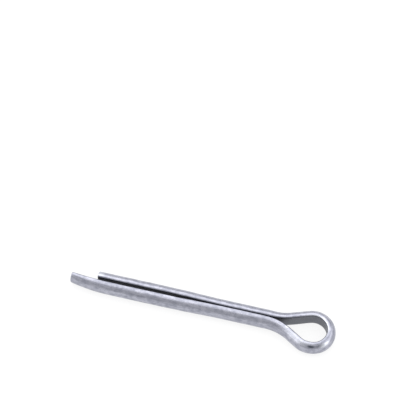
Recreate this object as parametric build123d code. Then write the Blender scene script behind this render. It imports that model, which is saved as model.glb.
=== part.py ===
from build123d import *
import math
import os

# A split pin that retains brake pads: one half-round wire, folded flat side in, into an eye and two legs.
# It lies flat, as it rests on a table. The origin is on the shank's axis at the neck, where the eye ends
# and the closed shank begins. +X runs along the shank to the tips, the long leg is on the +Y side, and
# the wire's middle height is Z = 0. Sizes are in millimetres and angles in degrees.

# The wire. Two of them, flat to flat with the slot between, make up the round shank.
SHANK_DIAMETER = 4.6
SLOT = 0.12
WIRE_CORNER = 0.5

# The legs, measured along the shank from the neck. Past the closed stretch each stands out a little.
CLOSED_LENGTH = 9.0
LONG_LEG = 47.35
SHORT_LEG = 41.2
LEG_SPREAD = 0.25
LONG_SPREAD_RUN = 15.0
SHORT_SPREAD_RUN = 16.0

# The long leg's end curves in past the short one's tip, and thins from its round side.
END_LENGTH = 9.5
END_SWING = 0.65
END_THINNING = 0.5
END_THINNING_SHARES = (0.0, 0.5, 1.0)
TIP_ROUNDING = 0.2

# The eye, measured along the wire's flat: a sloping wall on each side of a round nose. The wall on the
# long leg's side is the steeper, so the eye leans to that side, and it meets the nose in a corner and a
# flatter flank. The short leg's shoulder stands back from the neck. The walls' lengths follow from the rest.
LONG_WALL_ANGLE = 31.35
LONG_SHOULDER_RADIUS = 12.5
SHORT_WALL_ANGLE = 20.0
SHORT_SHOULDER_RADIUS = 12.1
SHORT_SHOULDER_SETBACK = 1.9
EYE_CORNER_RADIUS = 2.85
EYE_CORNER_ANGLE = 27.4
EYE_FLANK_RADIUS = 7.9
EYE_FLANK_ANGLE = 6.9
EYE_NOSE_RADIUS = 3.35
EYE_THINNING = 0.2

TOWARDS_TIPS = Vector(1, 0, 0)
TOWARDS_EYE = Vector(-1, 0, 0)
UP = Vector(0, 0, 1)
LONG_NECK = Vector(0, SLOT / 2, 0)
SHORT_NECK = Vector(0, -SLOT / 2, 0)


def wire_section(thinning=0.0):
    """The wire's outline, flat along the local Y axis and round towards +X, with its crown thinned."""
    radius = SHANK_DIAMETER / 2
    crown = radius - SLOT / 2 - thinning
    half_height = math.sqrt(radius**2 - (SLOT / 2) ** 2)
    flat = Line((0, -half_height), (0, half_height))
    round_side = ThreePointArc((0, half_height), (crown, 0), (0, -half_height))
    outline = make_face(flat + round_side)
    return fillet(outline.vertices(), WIRE_CORNER)


def across(edge, at, round_side):
    """The plane across an edge, at a share of its length, with X on the wire's round side, left or right."""
    outwards = UP.cross(edge % at) * (1 if round_side == "left" else -1)
    return Plane(origin=edge @ at, x_dir=outwards, z_dir=edge % at)


def trace(start, heading, moves):
    """Edges laid end to end: a straight is (length,), and a bend is (radius, angle), left if positive."""
    edges = []
    for move in moves:
        if len(move) == 1:
            edge = Line(start, start + heading * move[0])
        else:
            edge = JernArc(start, heading, *move)
        edges.append(edge)
        start = edge @ 1
        heading = edge % 1
    return edges


def carry(edges, round_side, thinning=0.0):
    """The wire's section carried along a path of edges, the same all the way."""
    return sweep(across(edges[0], 0, round_side) * wire_section(thinning), path=Wire(edges))


def carry_changing(edge, round_side, thinnings):
    """The wire's section carried along one edge, thinned by these amounts at even steps of the way."""
    steps = len(thinnings) - 1
    planes = [across(edge, step / steps, round_side) for step in range(steps + 1)]
    sections = [plane * wire_section(thinning) for plane, thinning in zip(planes, thinnings)]
    return sweep(sections, path=Wire([edge]), multisection=True)


def turn(vector, angle):
    """A direction turned to the left, seen from above."""
    return vector.rotate(Axis.Z, angle)


def eye_path():
    """The flat's line from the long leg's neck round the eye to the short leg's."""
    nose_angle = 180 + LONG_WALL_ANGLE + SHORT_WALL_ANGLE - EYE_CORNER_ANGLE - EYE_FLANK_ANGLE
    long_shoulder = (LONG_SHOULDER_RADIUS, -LONG_WALL_ANGLE)
    corner = (EYE_CORNER_RADIUS, EYE_CORNER_ANGLE)
    flank = (EYE_FLANK_RADIUS, EYE_FLANK_ANGLE)
    nose = (EYE_NOSE_RADIUS, nose_angle)
    short_end = [(SHORT_SHOULDER_RADIUS, -SHORT_WALL_ANGLE), (SHORT_SHOULDER_SETBACK,)]
    walls_left_out = trace(LONG_NECK, TOWARDS_EYE, [long_shoulder, corner, flank, nose, *short_end])
    still_to_go = SHORT_NECK - walls_left_out[-1] @ 1
    up_the_long_wall = turn(TOWARDS_EYE, -LONG_WALL_ANGLE)
    down_the_short_wall = turn(TOWARDS_TIPS, SHORT_WALL_ANGLE)
    spread = up_the_long_wall.cross(down_the_short_wall).Z
    long_wall = still_to_go.cross(down_the_short_wall).Z / spread
    short_wall = up_the_long_wall.cross(still_to_go).Z / spread
    print(f"eye walls: {long_wall:.2f} mm by the long leg, {short_wall:.2f} mm by the short leg")
    moves = [long_shoulder, (long_wall,), corner, flank, nose, (short_wall,), *short_end]
    return trace(LONG_NECK, TOWARDS_EYE, moves)


def eye():
    """The eye: its wire is a little thinner than the shank's, and thickens evenly up to the two necks."""
    long_shoulder, *walls_and_nose, short_shoulder, setback = eye_path()
    setback_thinning = EYE_THINNING * setback.length / (setback.length + short_shoulder.length)
    into_the_eye = carry_changing(long_shoulder, "right", [0.0, EYE_THINNING])
    loop = carry(walls_and_nose, "right", EYE_THINNING)
    out_of_the_eye = carry_changing(short_shoulder, "right", [EYE_THINNING, setback_thinning])
    up_to_the_neck = carry_changing(setback, "right", [setback_thinning, 0.0])
    return into_the_eye + loop + out_of_the_eye + up_to_the_neck


def leg_path(neck, outwards, spread_run, length):
    """The flat's line from the neck: closed, standing out in two equal and opposite bends, then straight."""
    radius = (spread_run**2 + LEG_SPREAD**2) / (4 * LEG_SPREAD)
    angle = math.degrees(math.asin(spread_run / 2 / radius)) * outwards
    straight = length - CLOSED_LENGTH - spread_run
    return trace(neck, TOWARDS_TIPS, [(CLOSED_LENGTH,), (radius, angle), (radius, -angle), (straight,)])


def long_leg():
    """The long leg, with its end curving in and thinning towards the tip."""
    body = leg_path(LONG_NECK, 1, LONG_SPREAD_RUN, LONG_LEG - END_LENGTH)
    radius = (END_LENGTH**2 + END_SWING**2) / (2 * END_SWING)
    angle = math.degrees(math.asin(END_LENGTH / radius))
    end = JernArc(body[-1] @ 1, body[-1] % 1, radius, -angle)
    thinnings = [END_THINNING * share**2 for share in END_THINNING_SHARES]
    return carry(body, "left") + carry_changing(end, "left", thinnings)


def short_leg():
    """The short leg, cut off square."""
    return carry(leg_path(SHORT_NECK, -1, SHORT_SPREAD_RUN, SHORT_LEG), "right")


def is_leg_end(face):
    """Whether a face is a leg's sheared end: flat, and facing the tips' way more than sideways."""
    normal = face.normal_at()
    return face.geom_type == GeomType.PLANE and normal.X > abs(normal.Y)


def round_tips(pin):
    """The sheared ends' edges, worn round."""
    return fillet(pin.faces().filter_by(is_leg_end).edges(), TIP_ROUNDING)


def retaining_pin():
    """The whole pin, one piece of wire."""
    return round_tips(eye() + long_leg() + short_leg())


os.makedirs("parts", exist_ok=True)
export_step(retaining_pin(), "parts/retaining_pin.step")
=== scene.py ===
# %% [markdown]
# # A brake pad retaining pin
# A split pin is one length of half-round wire, folded in the middle with its flat side inwards. The two
# halves lie flat to flat and make a round shank, and the fold stays open as an eye. This lesson builds
# the wire as one swept surface, gives it the finish of bright zinc plating over drawn steel, and lights
# it on a white table.

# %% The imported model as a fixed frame
import math

import bpy
import numpy as np
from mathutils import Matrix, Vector


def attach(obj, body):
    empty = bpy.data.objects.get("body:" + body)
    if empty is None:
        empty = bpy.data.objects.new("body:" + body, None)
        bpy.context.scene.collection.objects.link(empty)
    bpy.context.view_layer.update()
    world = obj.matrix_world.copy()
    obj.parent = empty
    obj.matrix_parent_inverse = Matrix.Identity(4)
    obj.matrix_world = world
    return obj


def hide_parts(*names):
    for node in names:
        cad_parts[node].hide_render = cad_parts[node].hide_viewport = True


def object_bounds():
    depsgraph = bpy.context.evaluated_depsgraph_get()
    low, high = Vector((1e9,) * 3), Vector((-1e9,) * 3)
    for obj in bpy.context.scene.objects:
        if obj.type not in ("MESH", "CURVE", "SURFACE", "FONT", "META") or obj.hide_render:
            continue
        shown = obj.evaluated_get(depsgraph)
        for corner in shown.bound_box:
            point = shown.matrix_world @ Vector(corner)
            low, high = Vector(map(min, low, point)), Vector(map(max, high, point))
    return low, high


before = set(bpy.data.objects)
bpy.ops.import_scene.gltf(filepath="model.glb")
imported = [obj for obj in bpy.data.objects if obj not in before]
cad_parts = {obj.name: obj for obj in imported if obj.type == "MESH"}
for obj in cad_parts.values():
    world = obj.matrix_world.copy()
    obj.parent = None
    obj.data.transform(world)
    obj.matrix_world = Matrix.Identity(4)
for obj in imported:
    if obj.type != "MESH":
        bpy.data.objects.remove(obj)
MM = 0.001
cad_low, cad_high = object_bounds()
print("solid pin, mm:", [round(side / MM, 2) for side in cad_high - cad_low])

# %% [markdown]
# ## Sizes
# Everything is worked out from a few lengths of the real pin, in millimetres, and turned to metres once,
# when the mesh is made. The origin is on the shank's axis at the neck, where the eye ends. +X runs to the
# tips, the long leg is on the +Y side, and Z = 0 is the wire's middle height.

# %% The pin's sizes
SHANK_RADIUS = 2.3
HALF_SLOT = 0.06
WIRE_CORNER = 0.5

CLOSED_LENGTH = 9.0
LONG_LEG = 47.35
SHORT_LEG = 41.2
LEG_SPREAD = 0.25
LONG_SPREAD_RUN = 15.0
SHORT_SPREAD_RUN = 16.0

END_LENGTH = 9.5
END_SWING = 0.65
END_THINNING = 0.5
TIP_ROUNDING = 0.2

LONG_WALL_ANGLE = 31.35
LONG_SHOULDER_RADIUS = 12.5
SHORT_WALL_ANGLE = 20.0
SHORT_SHOULDER_RADIUS = 12.1
SHORT_SHOULDER_SETBACK = 1.9
EYE_CORNER_RADIUS = 2.85
EYE_CORNER_ANGLE = 27.4
EYE_FLANK_RADIUS = 7.9
EYE_FLANK_ANGLE = 6.9
EYE_NOSE_RADIUS = 3.35
EYE_THINNING = 0.2
EYE_NOSE_ANGLE = 180 + LONG_WALL_ANGLE + SHORT_WALL_ANGLE - EYE_CORNER_ANGLE - EYE_FLANK_ANGLE

HALF_HEIGHT = math.sqrt(SHANK_RADIUS**2 - HALF_SLOT**2)
CROWN = SHANK_RADIUS - HALF_SLOT
print(f"wire: {CROWN:.2f} mm thick, {2 * HALF_HEIGHT:.2f} mm high before its corners are rounded")

# %% [markdown]
# ## The wire's line
# A bent wire is easiest to describe as its bender sees it: go so far, turn so much. Each move is a length
# and the turn made over it, and a straight is a move with no turn. A curve object with handles could draw
# the same line, but its arcs would be approximations, and every change would mean moving points by hand.

# %% Moves: a length and the turn made over it


def straight(length):
    """A move that goes on without turning."""
    return [(length, 0.0)]


def bend(radius, turn):
    """A move round an arc, whose length is the radius times the turn in radians."""
    return [(radius * math.radians(abs(turn)), turn)]


def side_step(run, offset):
    """Two equal and opposite bends that end parallel, offset to the left over a run along the leg. Their
    radius is (run squared + offset squared) / (4 offset), and the sine of their turn is run / 2 / radius."""
    radius = (run**2 + offset**2) / (4 * abs(offset))
    turn = math.copysign(math.degrees(math.asin(run / 2 / radius)), offset)
    return bend(radius, turn) + bend(radius, -turn)


def swing_in(run, offset):
    """One bend that ends offset sideways over a run. Its radius is (run squared + offset squared) /
    (2 offset), and the sine of its turn is run / radius."""
    radius = (run**2 + offset**2) / (2 * offset)
    return bend(radius, math.degrees(math.asin(run / radius)))


print("a leg's side step, (mm, degrees):", np.round(side_step(LONG_SPREAD_RUN, LEG_SPREAD), 2).tolist())

# %% [markdown]
# The line followed here is the wire's flat side, from the long leg's tip round the eye to the short
# leg's. It could be three lines joined afterwards, but one line keeps the wire in one piece, as it is.

# %% The whole wire as moves


def wire_moves(long_wall, short_wall):
    """All moves from the long leg's tip to the short leg's, with positive turns to the left."""
    long_leg = (
        swing_in(END_LENGTH, END_SWING)
        + straight(LONG_LEG - END_LENGTH - LONG_SPREAD_RUN - CLOSED_LENGTH)
        + side_step(LONG_SPREAD_RUN, LEG_SPREAD)
        + straight(CLOSED_LENGTH)
    )
    eye = (
        bend(LONG_SHOULDER_RADIUS, -LONG_WALL_ANGLE)
        + straight(long_wall)
        + bend(EYE_CORNER_RADIUS, EYE_CORNER_ANGLE)
        + bend(EYE_FLANK_RADIUS, EYE_FLANK_ANGLE)
        + bend(EYE_NOSE_RADIUS, EYE_NOSE_ANGLE)
        + straight(short_wall)
        + bend(SHORT_SHOULDER_RADIUS, -SHORT_WALL_ANGLE)
        + straight(SHORT_SHOULDER_SETBACK)
    )
    short_leg = (
        straight(CLOSED_LENGTH)
        + side_step(SHORT_SPREAD_RUN, -LEG_SPREAD)
        + straight(SHORT_LEG - SHORT_SPREAD_RUN - CLOSED_LENGTH)
    )
    return long_leg, eye, short_leg


def total_length(moves):
    """The sum of the moves' lengths."""
    return sum(length for length, turn in moves)


legs = wire_moves(0.0, 0.0)[::2]
print("wire in the legs, mm:", [round(total_length(leg), 2) for leg in legs])

# %% [markdown]
# ## From moves to places
# The heading is the running total of the turns, and the place is the running total of short steps along
# the heading. Spreading each turn a little over its neighbours makes a bend come on gradually, as in real
# wire, where a bare arc would start at once and break the highlight that runs along it.

# %% Headings and places along the wire
EASE_REACH = 0.6
EASE_SAMPLES = 9
BEND_EASE = np.linspace(-EASE_REACH, EASE_REACH, EASE_SAMPLES)
TRIAL_BEND = bend(10.0, 90.0)
TRIAL_POINTS = 200


def headings(moves, distance, first):
    """Heading at each distance: the turns' running total between the moves' ends, averaged over
    BEND_EASE."""
    lengths, turns = np.array(moves).T
    ends = np.concatenate([[0], np.cumsum(lengths)])
    totals = np.concatenate([[0], np.cumsum(np.radians(turns))])
    return first + np.interp(distance[:, None] + BEND_EASE, ends, totals).mean(1)


def places(moves, distance, first):
    """Place at each distance: the running total of the steps, each taken along the heading at its middle."""
    middle = (distance[1:] + distance[:-1]) / 2
    heading = headings(moves, middle, first)
    steps = np.diff(distance)[:, None] * np.stack([np.cos(heading), np.sin(heading)], 1)
    return np.concatenate([np.zeros((1, 2)), np.cumsum(steps, 0)])


trial_arc = places(TRIAL_BEND, np.linspace(0, total_length(TRIAL_BEND), TRIAL_POINTS), 0.0)
print("a quarter turn of 10 mm radius ends at", trial_arc[-1].round(1).tolist())

# %% [markdown]
# ## Closing the eye
# The eye's last bend has to end at the short leg's neck, one slot's width below the long one's. The two
# straight walls are the lengths left free. They could be tried out by hand until the ends meet, but they
# are solved for: two trial lengths leave a gap at the short neck, and the walls' two directions say how
# much each has to grow to close it.

# %% The two walls that close the eye
TRIAL_WALLS = np.array([4.0, 4.0])
STEP = 0.16
TOWARDS_EYE = math.pi


def stations(walls):
    """Evenly spaced distances along the whole wire, and the distances of the two necks."""
    long_leg, eye, short_leg = wire_moves(*walls)
    necks = total_length(long_leg), total_length(long_leg + eye)
    whole = total_length(long_leg + eye + short_leg)
    return np.linspace(0, whole, round(whole / STEP) + 1), necks


def laid_out(walls, distance):
    """Headings and places, turned and shifted so that the long neck is at (0, HALF_SLOT) and heads for
    the eye."""
    long_leg, eye, short_leg = wire_moves(*walls)
    moves = long_leg + eye + short_leg
    first = TOWARDS_EYE - math.radians(sum(turn for length, turn in long_leg))
    place = places(moves, distance, first)
    neck = [np.interp(total_length(long_leg), distance, column) for column in place.T]
    return headings(moves, distance, first), place - neck + [0, HALF_SLOT]


trial_distance, trial_necks = stations(TRIAL_WALLS)
trial_place = laid_out(TRIAL_WALLS, trial_distance)[1]
reached = np.array([np.interp(trial_necks[1], trial_distance, column) for column in trial_place.T])
wall_headings = np.radians([180 - LONG_WALL_ANGLE, SHORT_WALL_ANGLE])
directions = np.array([np.cos(wall_headings), np.sin(wall_headings)])
WALLS = TRIAL_WALLS + np.linalg.solve(directions, np.array([0, -HALF_SLOT]) - reached)
print("eye walls, mm:", WALLS.round(2).tolist())

# %% [markdown]
# ## The half-round section
# The wire's outline has a crown, which is an arc, two small rounded corners and a flat. Each outline point
# sits on one of four circles, so it is a centre plus a radius times the direction that it faces. Written
# that way, the outline can be made thinner or shrunk evenly all round, and the long leg's thinned end and
# both rounded tips come out of the same formula. A Bevel modifier on a sharp-cornered sweep would round
# the corners too, but the thinning would still need a formula of its own.

# %% Points round the outline
FLAT_POINTS = 9
CORNER_POINTS = 8
CROWN_POINTS = 34


def outline_table():
    """One row per outline point, round from the flat's middle: the share of the crown's half angle and of a
    half turn in the direction it faces, whether it is on the crown, and its corner's share of the height."""
    flat = np.linspace(0, 1, FLAT_POINTS, endpoint=False)
    corner = np.linspace(0, 1, CORNER_POINTS, endpoint=False)
    crown = np.linspace(-1, 1, CROWN_POINTS, endpoint=False)
    lower_flat = np.stack([0 * flat, 0 * flat - 1, 0 * flat, -flat], 1)
    lower_corner = np.stack([-corner, corner - 1, 0 * corner, 0 * corner - 1], 1)
    crown_arc = np.stack([crown, 0 * crown, 0 * crown + 1, 0 * crown], 1)
    upper_corner = np.stack([1 - corner, corner, 0 * corner, 0 * corner + 1], 1)
    upper_flat = np.stack([0 * flat, 0 * flat + 1, 0 * flat, 1 - flat], 1)
    return np.concatenate([lower_flat, lower_corner, crown_arc, upper_corner, upper_flat])


def outline(crown, inset):
    """Outline points and the directions they face, for arrays of thickness and inset along the wire.
    The crown's radius is (half height squared + thickness squared) / (2 thickness). A corner's centre is a
    corner radius above the flat, and as high as puts its circle inside the crown's, touching it."""
    radius = (HALF_HEIGHT**2 + crown**2) / (2 * crown)
    centre = crown - radius
    height = np.sqrt((radius - WIRE_CORNER) ** 2 - (WIRE_CORNER - centre) ** 2)
    half_angle = np.arctan2(height, WIRE_CORNER - centre)
    of_crown, of_turn, on_crown, of_height = outline_table().T
    facing = np.outer(half_angle, of_crown) + math.pi * of_turn
    size = np.outer(radius, on_crown) + WIRE_CORNER * (1 - on_crown) - inset[:, None]
    out = np.outer(centre, on_crown) + WIRE_CORNER * (1 - on_crown) + size * np.cos(facing)
    up = np.outer(height, of_height) + size * np.sin(facing)
    return out, up, facing


print(len(outline_table()), "points round the wire")

# %% [markdown]
# ## Rings from tip to tip
# The mesh is a grid: one ring of outline points at each station. At both ends more rings follow the worn
# edge, a quarter circle that goes inwards as it nears the end. Round the eye the wire is a little thinner,
# as folding stretches it, and it thickens evenly up to the necks. Cutting the ends and rounding them with
# modifiers would leave the grid, and with it the wire's own coordinates that the finish needs.

# %% Stations with rounded ends
EDGE_RINGS = 6

stations_at, (long_neck, short_neck) = stations(WALLS)
whole = stations_at[-1]
quarter = np.linspace(math.pi / 2, 0, EDGE_RINGS)
edge_back = TIP_ROUNDING * (1 - np.sin(quarter))
edge_inset = TIP_ROUNDING * (1 - np.cos(quarter))
body = np.linspace(TIP_ROUNDING, whole - TIP_ROUNDING, round(whole / STEP))[1:-1]
distance = np.concatenate([edge_back, body, whole - edge_back[::-1]])
inset = np.concatenate([edge_inset, 0 * body, edge_inset[::-1]])
heading, place = laid_out(WALLS, distance)

long_shoulder = long_neck + total_length(bend(LONG_SHOULDER_RADIUS, LONG_WALL_ANGLE))
short_bend = total_length(bend(SHORT_SHOULDER_RADIUS, SHORT_WALL_ANGLE))
short_shoulder = short_neck - SHORT_SHOULDER_SETBACK - short_bend
full_and_thin = [long_neck, long_shoulder, short_shoulder, short_neck]
eye_thinned = np.interp(distance, full_and_thin, [0, EYE_THINNING, EYE_THINNING, 0])
end_thinned = END_THINNING * np.clip(1 - distance / END_LENGTH, 0, 1) ** 2
out, up, facing = outline(CROWN - (eye_thinned + end_thinned), inset)
print(f"{len(distance)} rings of {out.shape[1]} points over {whole:.1f} mm of wire")

# %% [markdown]
# ## Marks of drawing and folding
# Wire that went through a die and a folding tool is never exact. Its surface wanders by up to about three
# hundredths of a millimetre, and the highlight along the leg shows that. The wander is a sum of a few
# waves with seeded phases, so every run gives the same pin. A Displace modifier with a cloud texture
# would do it too, but stretching its waves along the wire would need an unwrapped map.

# %% A slightly uneven surface
WANDER_SEED = 7
WANDER_WAVES = 7
WANDER_SIZE = 0.012
LONGEST_WAVE = 21.0
WAVE_FALL = 0.8
LOBE_KINDS = 3


def wander(distance, facing):
    """Sum of waves along the wire, each with its own wavelength, turn round the wire and phase. The
    wavelengths are the longest one over the wave's number to the power WAVE_FALL."""
    random = np.random.default_rng(WANDER_SEED)
    lengths = LONGEST_WAVE / (1 + np.arange(WANDER_WAVES)) ** WAVE_FALL
    phases = random.uniform(0, 2 * math.pi, WANDER_WAVES)
    lobes = random.integers(0, LOBE_KINDS, WANDER_WAVES)
    waves = [
        np.sin(2 * math.pi * distance[:, None] / length + lobe * facing + phase)
        for length, lobe, phase in zip(lengths, lobes, phases)
    ]
    return WANDER_SIZE * sum(waves) / math.sqrt(WANDER_WAVES)


lift = wander(distance, facing)
out = out + lift * np.cos(facing)
up = up + lift * np.sin(facing)
print(f"surface wanders by {lift.min():.3f} to {lift.max():.3f} mm")

# %% [markdown]
# ## The rings in space
# Each ring stands across the wire's line, out to the side that the crown faces, and up. Adding the line's
# places to the outline's two parts, for all stations at once, gives the whole surface. A curve with a
# bevel profile could do the same, but its section can't get thinner on one side only. At both ends the
# last ring then shrinks over the sheared face to a single point, so the surface is closed.

# %% The grid in space
# How far out the rings over an end face lie, from its edge inwards, as shares of the way from its middle.
FACE_SHARES = np.array([0.9, 0.7, 0.4])


def end_face(ring, flat_middle, outward, shares):
    """The end's ring shrunk by each share towards the middle of the wire's section, and that middle."""
    middle = np.append(flat_middle + outward * CROWN / 2, 0)
    return middle + shares[:, None, None] * (ring - middle), middle


def over_faces(values):
    """Rows of values with the first and the last repeated, for the rings over the end faces."""
    extra = len(FACE_SHARES)
    return np.concatenate([values[:1].repeat(extra, 0), values, values[-1:].repeat(extra, 0)])


outwards = np.stack([np.sin(heading), -np.cos(heading)], 1)
seen_from_above = place[:, None, :] + out[:, :, None] * outwards[:, None, :]
rings = np.concatenate([seen_from_above, up[:, :, None]], 2)
first_face, first_pole = end_face(rings[0], place[0], outwards[0], FACE_SHARES[::-1])
last_face, last_pole = end_face(rings[-1], place[-1], outwards[-1], FACE_SHARES)
grid = np.concatenate([first_face, rings, last_face])
print("grid of rings, points and coordinates:", grid.shape)

# %% [markdown]
# ## From the grid to a closed mesh
# A grid of rings becomes a mesh when each point is joined to its neighbours along and around. The last
# column joins back to the first, and each pole closes its end with a fan of triangles. Blender's Skin
# modifier makes such a tube from a line, but with a section of its own.

# %% The mesh


def grid_faces(rows, columns):
    """Quads between rings, and a fan of triangles at each pole. Points are numbered ring by ring, and the
    poles come last."""
    start = np.arange(rows - 1)[:, None] * columns
    near = np.arange(columns)
    far = (near + 1) % columns
    quads = np.stack([start + near, start + columns + near, start + columns + far, start + far], -1)
    last = (rows - 1) * columns
    poles = 0 * near + rows * columns
    first_fan = np.stack([near, far, poles], -1)
    last_fan = np.stack([last + far, last + near, poles + 1], -1)
    return quads.reshape(-1, 4).tolist() + first_fan.tolist() + last_fan.tolist()


points = np.concatenate([grid.reshape(-1, 3), [first_pole, last_pole]]) * MM
mesh = bpy.data.meshes.new("pin_wire")
mesh.from_pydata(points.tolist(), [], grid_faces(*grid.shape[:2]))
mesh.shade_smooth()
pin_wire = bpy.data.objects.new("pin_wire", mesh)
bpy.context.scene.collection.objects.link(pin_wire)
print("mesh:", len(mesh.vertices), "points,", len(mesh.polygons), "faces")

# %% [markdown]
# ## Rubbed spots and painted light
# The mandrel and the jaws that fold the eye press harder at some places than at others, and they rub the
# long leg's wall and the nose's inner edge. Pale spots there, and on a nick at the long leg's shoulder, a
# patch on the nose and the short leg's tip, paint highlights. Dark spots on the nose paint the camera's dark
# reflection as a small scuff, with a faint painted dark line above it. Each mark is a soft-edged spot on the
# straightened wire: a place along it and a direction that it faces. Painting them on a picture would need
# an unwrapped map, and these stay sharp at any size.

# %% Rubbed spots with painted highlights, and painted dark spots
# Each row: mm from the long tip, degrees up from the crown, half length in mm, half width in degrees,
# and strength.
# Rubbed spots whose pale tint paints highlights on them.
RUBBED_AND_HIGHLIGHT_SPOTS = [
    (56.3, 60, 3.9, 30, 0.28),  # the long leg's wall
    (62.6, 43, 1.0, 11, 1.0),  # the nose's patch
    (68.0, 126, 4.6, 20, 0.8),  # the nose's inner edge
    (53.3, 92, 0.5, 14, 0.9),  # a nick at the long leg's shoulder
    (whole, 75, 1.8, 40, 0.5),  # the short leg's tip
]
# Painted dark: the nose's scuff paints the camera's dark reflection, and the line above it is painted dark.
PAINTED_DARK_SPOTS = [
    (60.2, 47, 0.7, 8, 0.9),  # the nose's scuff
    (61.7, 47, 1.0, 7, 0.4),  # its fainter end
    (62.6, 64, 2.8, 5, 0.45),  # the line above it
]
MARKED = 0.5


def spots(rows, distance, facing):
    """The strongest spot at each point. A spot's strength falls off by e to the minus square of (along
    squared + around squared), which are counted in its half lengths and half widths."""
    degrees = np.degrees(facing)
    strength = 0 * degrees
    for middle, direction, half_length, half_width, most in rows:
        along = (distance[:, None] - middle) / half_length
        around = (degrees - direction) / half_width
        strength = np.maximum(strength, most * np.exp(-((along**2 + around**2) ** 2)))
    return strength


# How much each point takes of the rubbed spots' painted highlights and of the painted dark spots.
rubbed_and_highlight = spots(RUBBED_AND_HIGHLIGHT_SPOTS, distance, facing)
painted_dark = spots(PAINTED_DARK_SPOTS, distance, facing)
print("points more than half rubbed:", (rubbed_and_highlight > MARKED).sum(), "and scuffed:", (painted_dark > MARKED).sum())

# %% [markdown]
# ## What the finish reads
# Drawing lines run along the wire round every bend, so each point keeps where it would be on a straight
# wire. It also keeps how much it belongs to a sheared end, to the flat side, to a rubbed spot with a painted
# highlight, and to a painted dark spot. A UV map could hold the first, but it has a seam, and it leaves no
# room for the rest.

# %% Attributes on the mesh
FLAT_STARTS = 0.72
FLAT_FADES_OVER = 0.2


def keep_on_mesh(name, kind, values, poles):
    """Stores one value per point of the grid, and one for each pole."""
    per_point = np.concatenate([values.reshape(len(points) - 2, -1), poles]).astype(np.float32)
    field = "vector" if kind == "FLOAT_VECTOR" else "value"
    mesh.attributes.new(name, kind, "POINT").data.foreach_set(field, per_point.ravel())


straightened = np.stack([np.broadcast_to(distance[:, None], out.shape), out, up], 2)
unbent = over_faces(straightened)
on_face = over_faces(np.zeros(out.shape))
on_face[: len(FACE_SHARES)] = 1
on_face[-len(FACE_SHARES) :] = 1
half_turns = np.abs(over_faces(facing)) / math.pi
towards_flat = np.clip((half_turns - FLAT_STARTS) / FLAT_FADES_OVER, 0, 1)
on_neither_pole = np.zeros((2, 1))
keep_on_mesh("unbent", "FLOAT_VECTOR", unbent, np.array([unbent[0, 0], unbent[-1, 0]]))
keep_on_mesh("sheared", "FLOAT", on_face, np.ones((2, 1)))
# The flat side's mask also places the painted shade in its darker grey.
keep_on_mesh("flat_side", "FLOAT", towards_flat * (1 - on_face), on_neither_pole)
# The rubbed spots paint highlights, and the dark spots paint a dark reflection and a dark line.
keep_on_mesh("rubbed_and_highlight", "FLOAT", over_faces(rubbed_and_highlight), on_neither_pole)
keep_on_mesh("painted_dark", "FLOAT", over_faces(painted_dark), on_neither_pole)
print("attributes:", [name for name in mesh.attributes.keys() if not name.startswith(".")])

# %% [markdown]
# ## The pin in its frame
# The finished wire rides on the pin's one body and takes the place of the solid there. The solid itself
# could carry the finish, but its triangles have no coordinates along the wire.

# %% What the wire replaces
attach(pin_wire, "root")
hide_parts("retaining_pin")
print(pin_wire.name, "replaces the solid pin")

# %% [markdown]
# ## Colours and nodes
# Colours are written as the hex values seen on a screen, and one function turns them to the linear values
# that shaders use. Nodes could be placed by hand in the shader editor, but a script shows every setting,
# so one small function adds a node with its settings and links.

# %% Helpers for materials
SCREEN_KNEE = 0.04045
SCREEN_SLOPE = 12.92
SCREEN_OFFSET = 0.055
SCREEN_POWER = 2.4

# Sockets that share a name are picked by number. The second row is for the colours of a Mix node.
FIRST, SECOND, THIRD = range(3)
MIX_FIRST, MIX_SECOND, MIX_RESULT = 6, 7, 2


def tone(code):
    """A screen colour such as #8A909C as linear red, green, blue and alpha. Above the knee, linear is
    ((screen + offset) / (1 + offset)) to the power, and below it screen / slope."""
    screen = np.array([int(code[start : start + 2], 16) for start in (1, 3, 5)]) / 255
    curve = ((screen + SCREEN_OFFSET) / (1 + SCREEN_OFFSET)) ** SCREEN_POWER
    return (*np.where(screen <= SCREEN_KNEE, screen / SCREEN_SLOPE, curve).tolist(), 1.0)


def add(tree, kind, settings=None, links=None):
    """Adds a node. Settings are properties or input values, and links are inputs with what feeds them."""
    node = tree.nodes.new(kind)
    for name, value in (settings or {}).items():
        if isinstance(name, str) and hasattr(node, name):
            setattr(node, name, value)
        else:
            node.inputs[name].default_value = value
    for name, socket in (links or {}).items():
        tree.links.new(socket, node.inputs[name])
    return node


def new_material(name):
    """An empty node material and its tree."""
    material = bpy.data.materials.new(name)
    material.use_nodes = True
    material.node_tree.nodes.clear()
    return material, material.node_tree


print("screen grey #808080 in linear light:", round(tone("#808080")[0], 3))

# %% [markdown]
# ## Zinc plating on drawn steel
# Bright zinc plating is a thin bluish-grey metal coat. It follows the wire under it, so the fine lines that
# the drawing die left still show along the leg, and its crystals give a faint cloudiness. Both are noise:
# the lines on the straightened wire, stretched along it, and the clouds in space. A picture of scratched
# metal could give both, but it would show its pixels up close.

# %% The patterns in the plating
# Sizes in millimetres. Real drawing lines are a few hundredths of a millimetre wide, too fine to show, so
# they are drawn as coarse as they need to be to show.
LINE_LENGTH = 10 / 3
LINE_WIDTH = 0.3125
CLOUD_SIZE = 1.25
LINE_NOISE = {"Scale": 1.0, "Detail": 6.0, "Roughness": 0.65}
CLOUD_NOISE = {"Scale": 1 / (CLOUD_SIZE * MM), "Detail": 4.0, "Roughness": 0.6}


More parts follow.
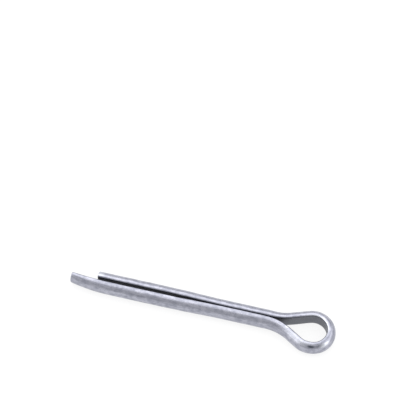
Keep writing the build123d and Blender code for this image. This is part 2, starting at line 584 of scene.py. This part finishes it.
def plating_patterns(tree):
    """Lines, clouds, and their sum, which is about 1 everywhere."""
    unbent = add(tree, "ShaderNodeAttribute", {"attribute_name": "unbent"})
    lines_per_mm = (1 / LINE_LENGTH, 1 / LINE_WIDTH, 1 / LINE_WIDTH)
    stretched = add(
        tree, "ShaderNodeMapping", {"Scale": lines_per_mm}, {"Vector": unbent.outputs["Vector"]}
    )
    lines = add(tree, "ShaderNodeTexNoise", LINE_NOISE, {"Vector": stretched.outputs["Vector"]})
    where = add(tree, "ShaderNodeTexCoord")
    clouds = add(tree, "ShaderNodeTexNoise", CLOUD_NOISE, {"Vector": where.outputs["Object"]})
    both = add(
        tree,
        "ShaderNodeMath",
        {"operation": "ADD"},
        {FIRST: lines.outputs["Fac"], SECOND: clouds.outputs["Fac"]},
    )
    return lines, clouds, both


print(f"lines {LINE_WIDTH} mm wide and {LINE_LENGTH:.1f} mm long, clouds {CLOUD_SIZE} mm across")

# %% [markdown]
# A metal has no colour of its own under its reflection, so its colour is the reflection's tint. The tint
# wanders with the patterns between two greys. The flat side was pressed in the rolls and sees little of the
# polish, so it is darker there, and its grey is darker still as painted shade for the slot and the eye's
# hollow that it faces. The sheared ends mix in their own colour, the rubbed spots a pale tint that paints
# highlights, and the painted dark spots a dark grey.

# %% The plating's tint
ZINC_LIGHT = tone("#B4B5C1")
ZINC_DARK = tone("#9193A0")
# The flat side's grey is partly its rolled finish and partly painted shade for the slot and the eye.
FLAT_GREY_AND_SHADE = tone("#6D6F76")
SHEARED_STEEL = tone("#9A9DA3")
# Pale tint of the rubbed spots, which paints highlights there.
RUBBED_AND_HIGHLIGHT_TINT = tone("#E9ECF4")
# Dark tint that paints the camera's dark reflection and a dark line on the nose.
PAINTED_DARK_TINT = tone("#3E4550")
TINT_FROM, TINT_TO = 0.82, 1.18


def plating_tint(tree, both, masks):
    """Dark to light zinc with the patterns' sum, then each mask's own colour."""
    colours = {
        "flat_side": FLAT_GREY_AND_SHADE,
        "sheared": SHEARED_STEEL,
        # The rubbed spots' pale tint paints highlights, and the dark tint paints a dark reflection and a
        # dark line.
        "rubbed_and_highlight": RUBBED_AND_HIGHLIGHT_TINT,
        "painted_dark": PAINTED_DARK_TINT,
    }
    share = add(
        tree,
        "ShaderNodeMapRange",
        {"From Min": TINT_FROM, "From Max": TINT_TO},
        {"Value": both.outputs["Value"]},
    )
    tint = add(
        tree,
        "ShaderNodeMix",
        {"data_type": "RGBA", MIX_FIRST: ZINC_DARK, MIX_SECOND: ZINC_LIGHT},
        {FIRST: share.outputs["Result"]},
    )
    for name, colour in colours.items():
        tint = add(
            tree,
            "ShaderNodeMix",
            {"data_type": "RGBA", MIX_SECOND: colour},
            {FIRST: masks[name].outputs["Fac"], MIX_FIRST: tint.outputs[MIX_RESULT]},
        )
    return tint.outputs[MIX_RESULT]


print("zinc's linear red, dark and light:", round(ZINC_DARK[0], 2), round(ZINC_LIGHT[0], 2))

# %% [markdown]
# The lines and clouds show most in how the metal shines. Where the patterns are high it is a little
# glossier, and the flat side and the sheared ends are duller. A faint bump breaks up the highlight, as the
# lines do on real wire. The lines could be cut into the mesh, but that would need far more faces.

# %% The plating's gloss and bump
GLOSS_FROM, GLOSS_TO = 0.75, 1.25
DULLEST, GLOSSIEST = 0.36, 0.24
UNPOLISHED = 0.16
BUMP_HEIGHT = 0.012 * MM


def plating_gloss(tree, both, masks):
    """Roughness from dull to glossy with the patterns' sum, plus UNPOLISHED on the flat and the ends."""
    gloss = add(
        tree,
        "ShaderNodeMapRange",
        {"From Min": GLOSS_FROM, "From Max": GLOSS_TO, "To Min": DULLEST, "To Max": GLOSSIEST},
        {"Value": both.outputs["Value"]},
    )
    unpolished = add(
        tree,
        "ShaderNodeMath",
        {"operation": "ADD"},
        {FIRST: masks["flat_side"].outputs["Fac"], SECOND: masks["sheared"].outputs["Fac"]},
    )
    rough = add(
        tree,
        "ShaderNodeMath",
        {"operation": "MULTIPLY_ADD", SECOND: UNPOLISHED},
        {FIRST: unpolished.outputs["Value"], THIRD: gloss.outputs["Result"]},
    )
    return rough.outputs["Value"]


def plating_bump(tree, clouds, lines):
    """The lines' bump on top of the clouds', each BUMP_HEIGHT from low to high."""
    strength = {"Strength": 1.0, "Distance": BUMP_HEIGHT}
    cloudy = add(tree, "ShaderNodeBump", strength, {"Height": clouds.outputs["Fac"]})
    links = {"Height": lines.outputs["Fac"], "Normal": cloudy.outputs["Normal"]}
    return add(tree, "ShaderNodeBump", strength, links).outputs["Normal"]


print(f"roughness {GLOSSIEST} to {DULLEST}, and {UNPOLISHED} more on the flat and the ends")

# %% [markdown]
# The four parts meet in one metal shader. Layered shaders, zinc over steel, would look the same here,
# because the plating is opaque.

# %% The finished plating


def zinc_plating():
    """Metallic base with drawing lines along the wire, clouds, a duller flat side partly in painted shade,
    and painted marks.
    """
    material, tree = new_material("zinc_plated_drawn_steel")
    lines, clouds, both = plating_patterns(tree)
    masks = {
        name: add(tree, "ShaderNodeAttribute", {"attribute_name": name})
        for name in ("flat_side", "sheared", "rubbed_and_highlight", "painted_dark")
    }
    metal = add(
        tree,
        "ShaderNodeBsdfPrincipled",
        {"Metallic": 1.0},
        {
            "Base Color": plating_tint(tree, both, masks),
            "Roughness": plating_gloss(tree, both, masks),
            "Normal": plating_bump(tree, clouds, lines),
        },
    )
    add(tree, "ShaderNodeOutputMaterial", links={"Surface": metal.outputs["BSDF"]})
    return material


mesh.materials.append(zinc_plating())
print(mesh.materials[0].name, "has", len(mesh.materials[0].node_tree.nodes), "nodes")

# %% [markdown]
# ## The white table
# The table is matt and pale. Its own glow is seen by the camera and in reflections only, and makes up what
# the lamps leave short of white, so the background is white while the pin keeps its shadow and its own
# light. Stronger lamps would make it white too, but they would bleach the metal.

# %% The table
TABLE_HALF = 0.9
TABLE_COLOUR = tone("#707070")
TABLE_GLOW = 0.83


def white_table():
    """A matt surface plus a glow for camera, glossy and transmission rays."""
    material, tree = new_material("white_table")
    matt = add(tree, "ShaderNodeBsdfDiffuse", {"Color": TABLE_COLOUR})
    path = add(tree, "ShaderNodeLightPath")
    shown = path.outputs["Is Camera Ray"]
    for ray in ("Is Glossy Ray", "Is Transmission Ray"):
        either = {FIRST: shown, SECOND: path.outputs[ray]}
        shown = add(tree, "ShaderNodeMath", {"operation": "MAXIMUM"}, either).outputs["Value"]
    strength = add(
        tree, "ShaderNodeMath", {"operation": "MULTIPLY", SECOND: TABLE_GLOW}, {FIRST: shown}
    )
    glow = add(tree, "ShaderNodeEmission", links={"Strength": strength.outputs["Value"]})
    both = {FIRST: matt.outputs["BSDF"], SECOND: glow.outputs["Emission"]}
    surface = add(tree, "ShaderNodeAddShader", links=both)
    add(tree, "ShaderNodeOutputMaterial", links={"Surface": surface.outputs["Shader"]})
    return material


corners = np.array([[-1, -1, 0], [1, -1, 0], [1, 1, 0], [-1, 1, 0]]) * TABLE_HALF + [0, 0, cad_low.z]
table_mesh = bpy.data.meshes.new("table")
table_mesh.from_pydata(corners.tolist(), [], [(0, 1, 2, 3)])
table_mesh.materials.append(white_table())
table = bpy.data.objects.new("table", table_mesh)
bpy.context.scene.collection.objects.link(table)
print(f"table {2 * TABLE_HALF} m wide, {-cad_low.z / MM:.2f} mm under the wire's middle")

# %% [markdown]
# ## Camera
# The camera looks down at the pin from 60 degrees above the table, across it, from the side of the long
# leg. Its distance and lens come from fitting the pin's outline. They could be set by eye, but a wrong
# distance makes the eye too large or too small beside the tips.

# %% The camera
CAMERA_ELEVATION = math.radians(60)
PIN_TURN = math.radians(13.93)
CAMERA_DISTANCE = 484.0 * MM
CAMERA_LENS = 177.12
NECK_RIGHT_OF_AIM = 15.483 * MM
NECK_BEFORE_AIM = 33.767 * MM
AIM_BELOW_WIRE = 2.3 * MM

rightwards = Vector((-math.cos(PIN_TURN), -math.sin(PIN_TURN), 0))
away = Vector((math.sin(PIN_TURN), -math.cos(PIN_TURN), 0))
aim = away * NECK_BEFORE_AIM - rightwards * NECK_RIGHT_OF_AIM - Vector((0, 0, AIM_BELOW_WIRE))
back = Vector((0, 0, math.sin(CAMERA_ELEVATION))) - away * math.cos(CAMERA_ELEVATION)
lens = bpy.data.cameras.new("camera")
lens.lens = CAMERA_LENS
camera = bpy.data.objects.new("camera", lens)
camera.location = aim + back * CAMERA_DISTANCE
camera.rotation_euler = (-back).to_track_quat("-Z", "Y").to_euler()
bpy.context.scene.collection.objects.link(camera)
bpy.context.scene.camera = camera
print("camera, mm:", [round(part / MM) for part in camera.location])

# %% [markdown]
# ## Light
# The pin lies in a light tent: a wide softbox above that reaches far behind it, a smaller one low on each
# side, and plain grey-white all round. In a metal, each lamp is seen as its reflection. The top softbox's
# near edge ends the bright band along the legs, the side ones show where the eye turns towards them, the
# room shows on the long leg's steep side, and the white table along its lower rim. A picture of a studio
# could light it too, but then nothing could be moved to where a highlight is wanted.

# %% The softboxes
TOP_HEIGHT = 0.6
TOP_FAR = math.radians(73)
TOP_NEAR = math.radians(27)
TOP_WIDTH = 1.5
TOP_RADIANCE = 1.22
SIDE_PLACE = 0.75
SIDE_HEIGHT = 0.36
SIDE_SIZE = (1.1, 0.55)
SIDE_RADIANCE = 1.05
DOWN = Vector((0, 0, -1))


def softbox(name, location, facing, size, radiance):
    """A flat lamp at a location, facing a way. Its power is radiance times pi times its area, so its size
    can change and its look won't."""
    lamp = bpy.data.lights.new(name, "AREA")
    lamp.shape = "RECTANGLE"
    lamp.size, lamp.size_y = size
    lamp.energy = radiance * math.pi * lamp.size * lamp.size_y
    box = bpy.data.objects.new(name, lamp)
    box.location = location
    box.rotation_euler = facing.to_track_quat("-Z", "Y").to_euler()
    bpy.context.scene.collection.objects.link(box)
    print(f"{name}: {lamp.energy:.2f} W")
    return box


far_edge = TOP_HEIGHT * math.tan(TOP_FAR)
near_edge = TOP_HEIGHT * math.tan(TOP_NEAR)
over_pin = Vector((0, 0, TOP_HEIGHT)) + away * (far_edge - near_edge) / 2
top_size = (TOP_WIDTH, far_edge + near_edge)
top_softbox = softbox("top_softbox", over_pin, DOWN, top_size, TOP_RADIANCE)
top_softbox.rotation_euler = (0, 0, PIN_TURN)  # turned as the camera is, still facing down
for name, side_way in (("left_softbox", -rightwards), ("right_softbox", rightwards)):
    beside = side_way * SIDE_PLACE + Vector((0, 0, SIDE_HEIGHT))
    softbox(name, beside, -side_way, SIDE_SIZE, SIDE_RADIANCE)

# %% [markdown]
# The room is one even tone, set as the world's colour. Walls could be built round the table instead, but
# that is more to set up for the same even tone.

# %% The room
ROOM_WHITE = (1, 1, 1, 1)
ROOM_RADIANCE = 0.72

world = bpy.data.worlds.new("room")
world.use_nodes = True
world.node_tree.nodes["Background"].inputs["Color"].default_value = ROOM_WHITE
world.node_tree.nodes["Background"].inputs["Strength"].default_value = ROOM_RADIANCE
bpy.context.scene.world = world
bpy.context.scene.view_settings.view_transform = "Standard"
print("room at", ROOM_RADIANCE, "and view transform", bpy.context.scene.view_settings.view_transform)
